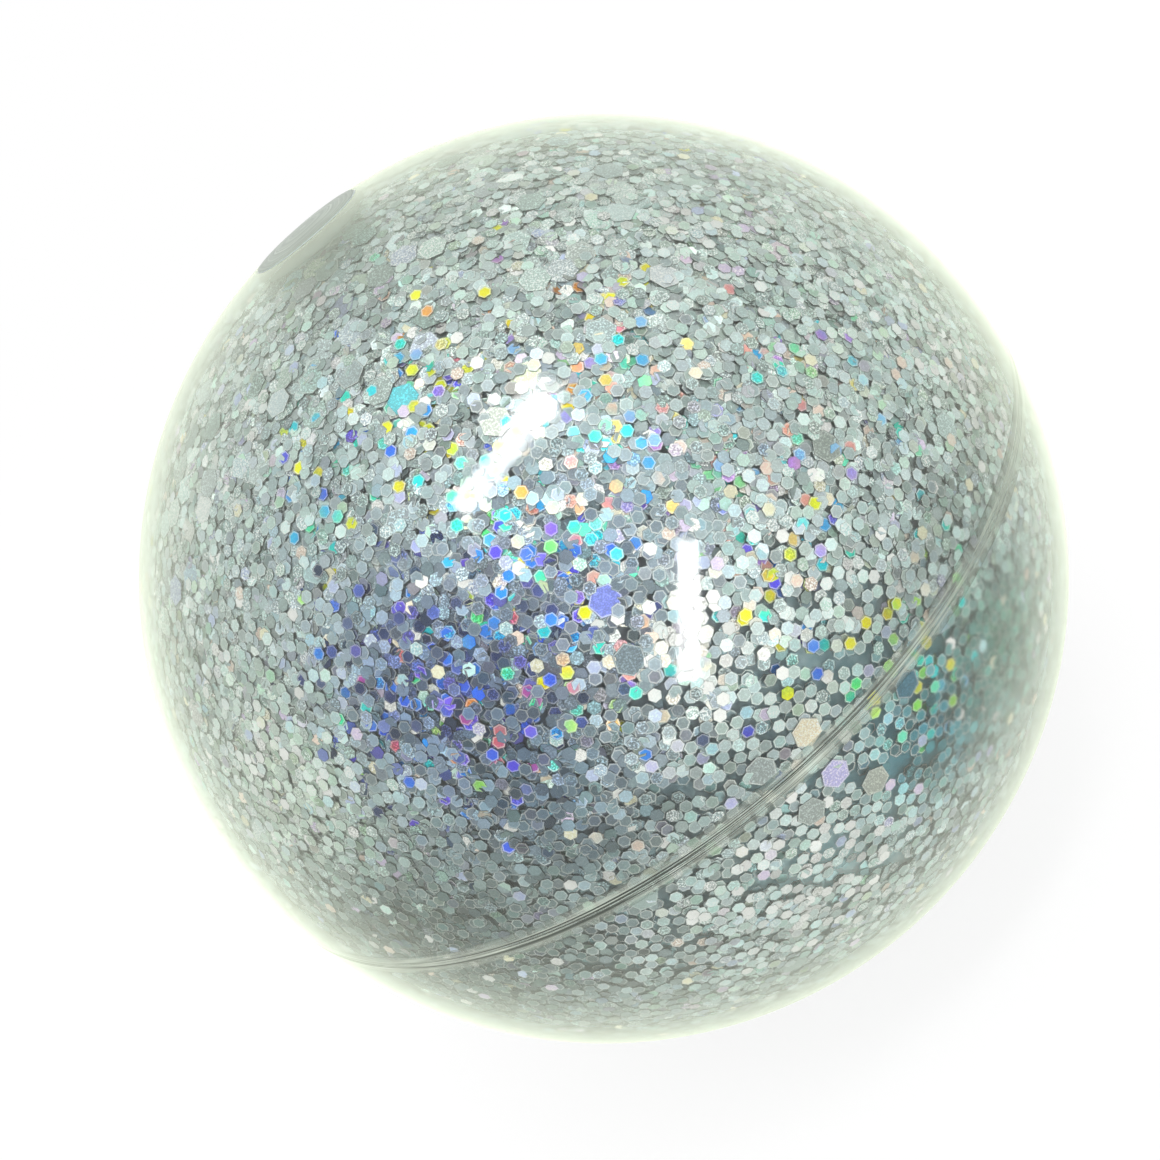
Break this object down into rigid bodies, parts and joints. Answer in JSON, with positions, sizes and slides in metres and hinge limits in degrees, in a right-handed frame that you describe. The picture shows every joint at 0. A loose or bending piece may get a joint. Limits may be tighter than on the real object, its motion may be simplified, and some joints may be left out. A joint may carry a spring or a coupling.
{
  "type": "glitter bouncy ball",
  "caption": "Clear liquid-filled bouncy ball: two welded half shells, a barbed fill plug, and hexagonal silver glitter flakes that swirl inside.",
  "frame": {"origin": "centre of the ball, on the seam plane", "axes": "+Z out through the fill plug, square to the seam plane; X and Y lie in the seam plane"},
  "size_m": [0.1002, 0.1002, 0.1001],
  "materials": {
    "clear_shell": "clear moulded thermoplastic rubber, glossy",
    "weld": "scraped translucent weld",
    "plug": "moulded translucent rubber, satin",
    "liquid": "clear liquid, dark with glitter in its depth",
    "fine_glitter": "holographic silver film",
    "chunky_glitter": "holographic silver film"
  },
  "bodies": {
    "shell": {"plug_half_shell": "clear_shell", "blank_half_shell": "clear_shell", "seam_weld": "weld", "fill_plug": "plug", "plug_cement_ring": "weld"},
    "filling": {"liquid": "liquid", "fine_flakes": "fine_glitter", "chunky_flakes": "chunky_glitter"}
  },
  "joints": [
    {"name": "swirl", "type": "hinge", "parent": "shell", "child": "filling", "pos_m": [0, 0, 0], "axis": [0, 0, 1], "continuous": true}
  ]
}
